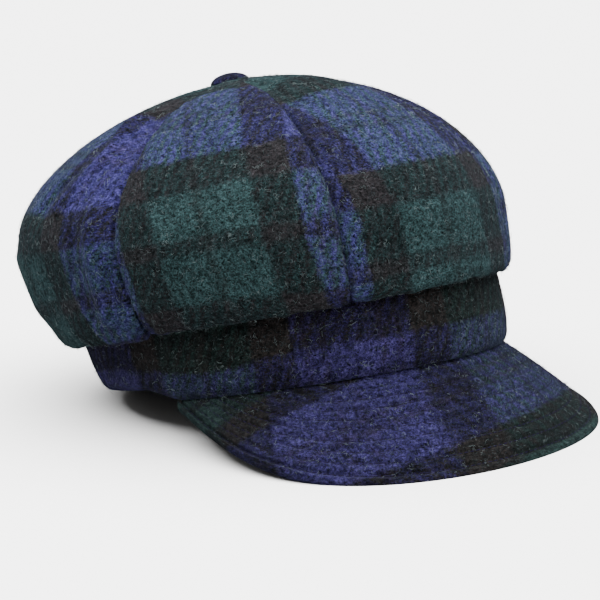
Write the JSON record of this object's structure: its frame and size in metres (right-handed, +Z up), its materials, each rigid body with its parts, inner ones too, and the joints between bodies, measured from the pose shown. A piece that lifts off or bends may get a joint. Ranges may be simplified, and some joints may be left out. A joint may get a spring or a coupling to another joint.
{
  "type": "baker boy cap",
  "caption": "Soft tweed cap with a full crown of wedge gores gathered to a cloth-covered button, a plain headband and a short curved peak",
  "frame": {"origin": "middle of the footprint, on the surface that the cap rests on", "axes": "+Z up, -Y towards the wearer's front and the peak, +X towards the wearer's left"},
  "size_m": [0.2124, 0.283, 0.1532],
  "materials": {
    "tweed_crown": "brushed woollen tweed in a dark green, navy and black tartan",
    "tweed_band": "brushed woollen tweed in a dark green, navy and black tartan",
    "tweed_peak": "topstitched woollen tweed over a stiff core",
    "tweed_button": "woollen tweed stretched over a button"
  },
  "bodies": {
    "root": {"crown_front": "tweed_crown", "crown_left_front": "tweed_crown", "crown_left_back": "tweed_crown", "crown_back": "tweed_crown", "crown_right_back": "tweed_crown", "crown_right_front": "tweed_crown", "headband": "tweed_band", "peak": "tweed_peak", "top_button": "tweed_button"}
  },
  "joints": []
}
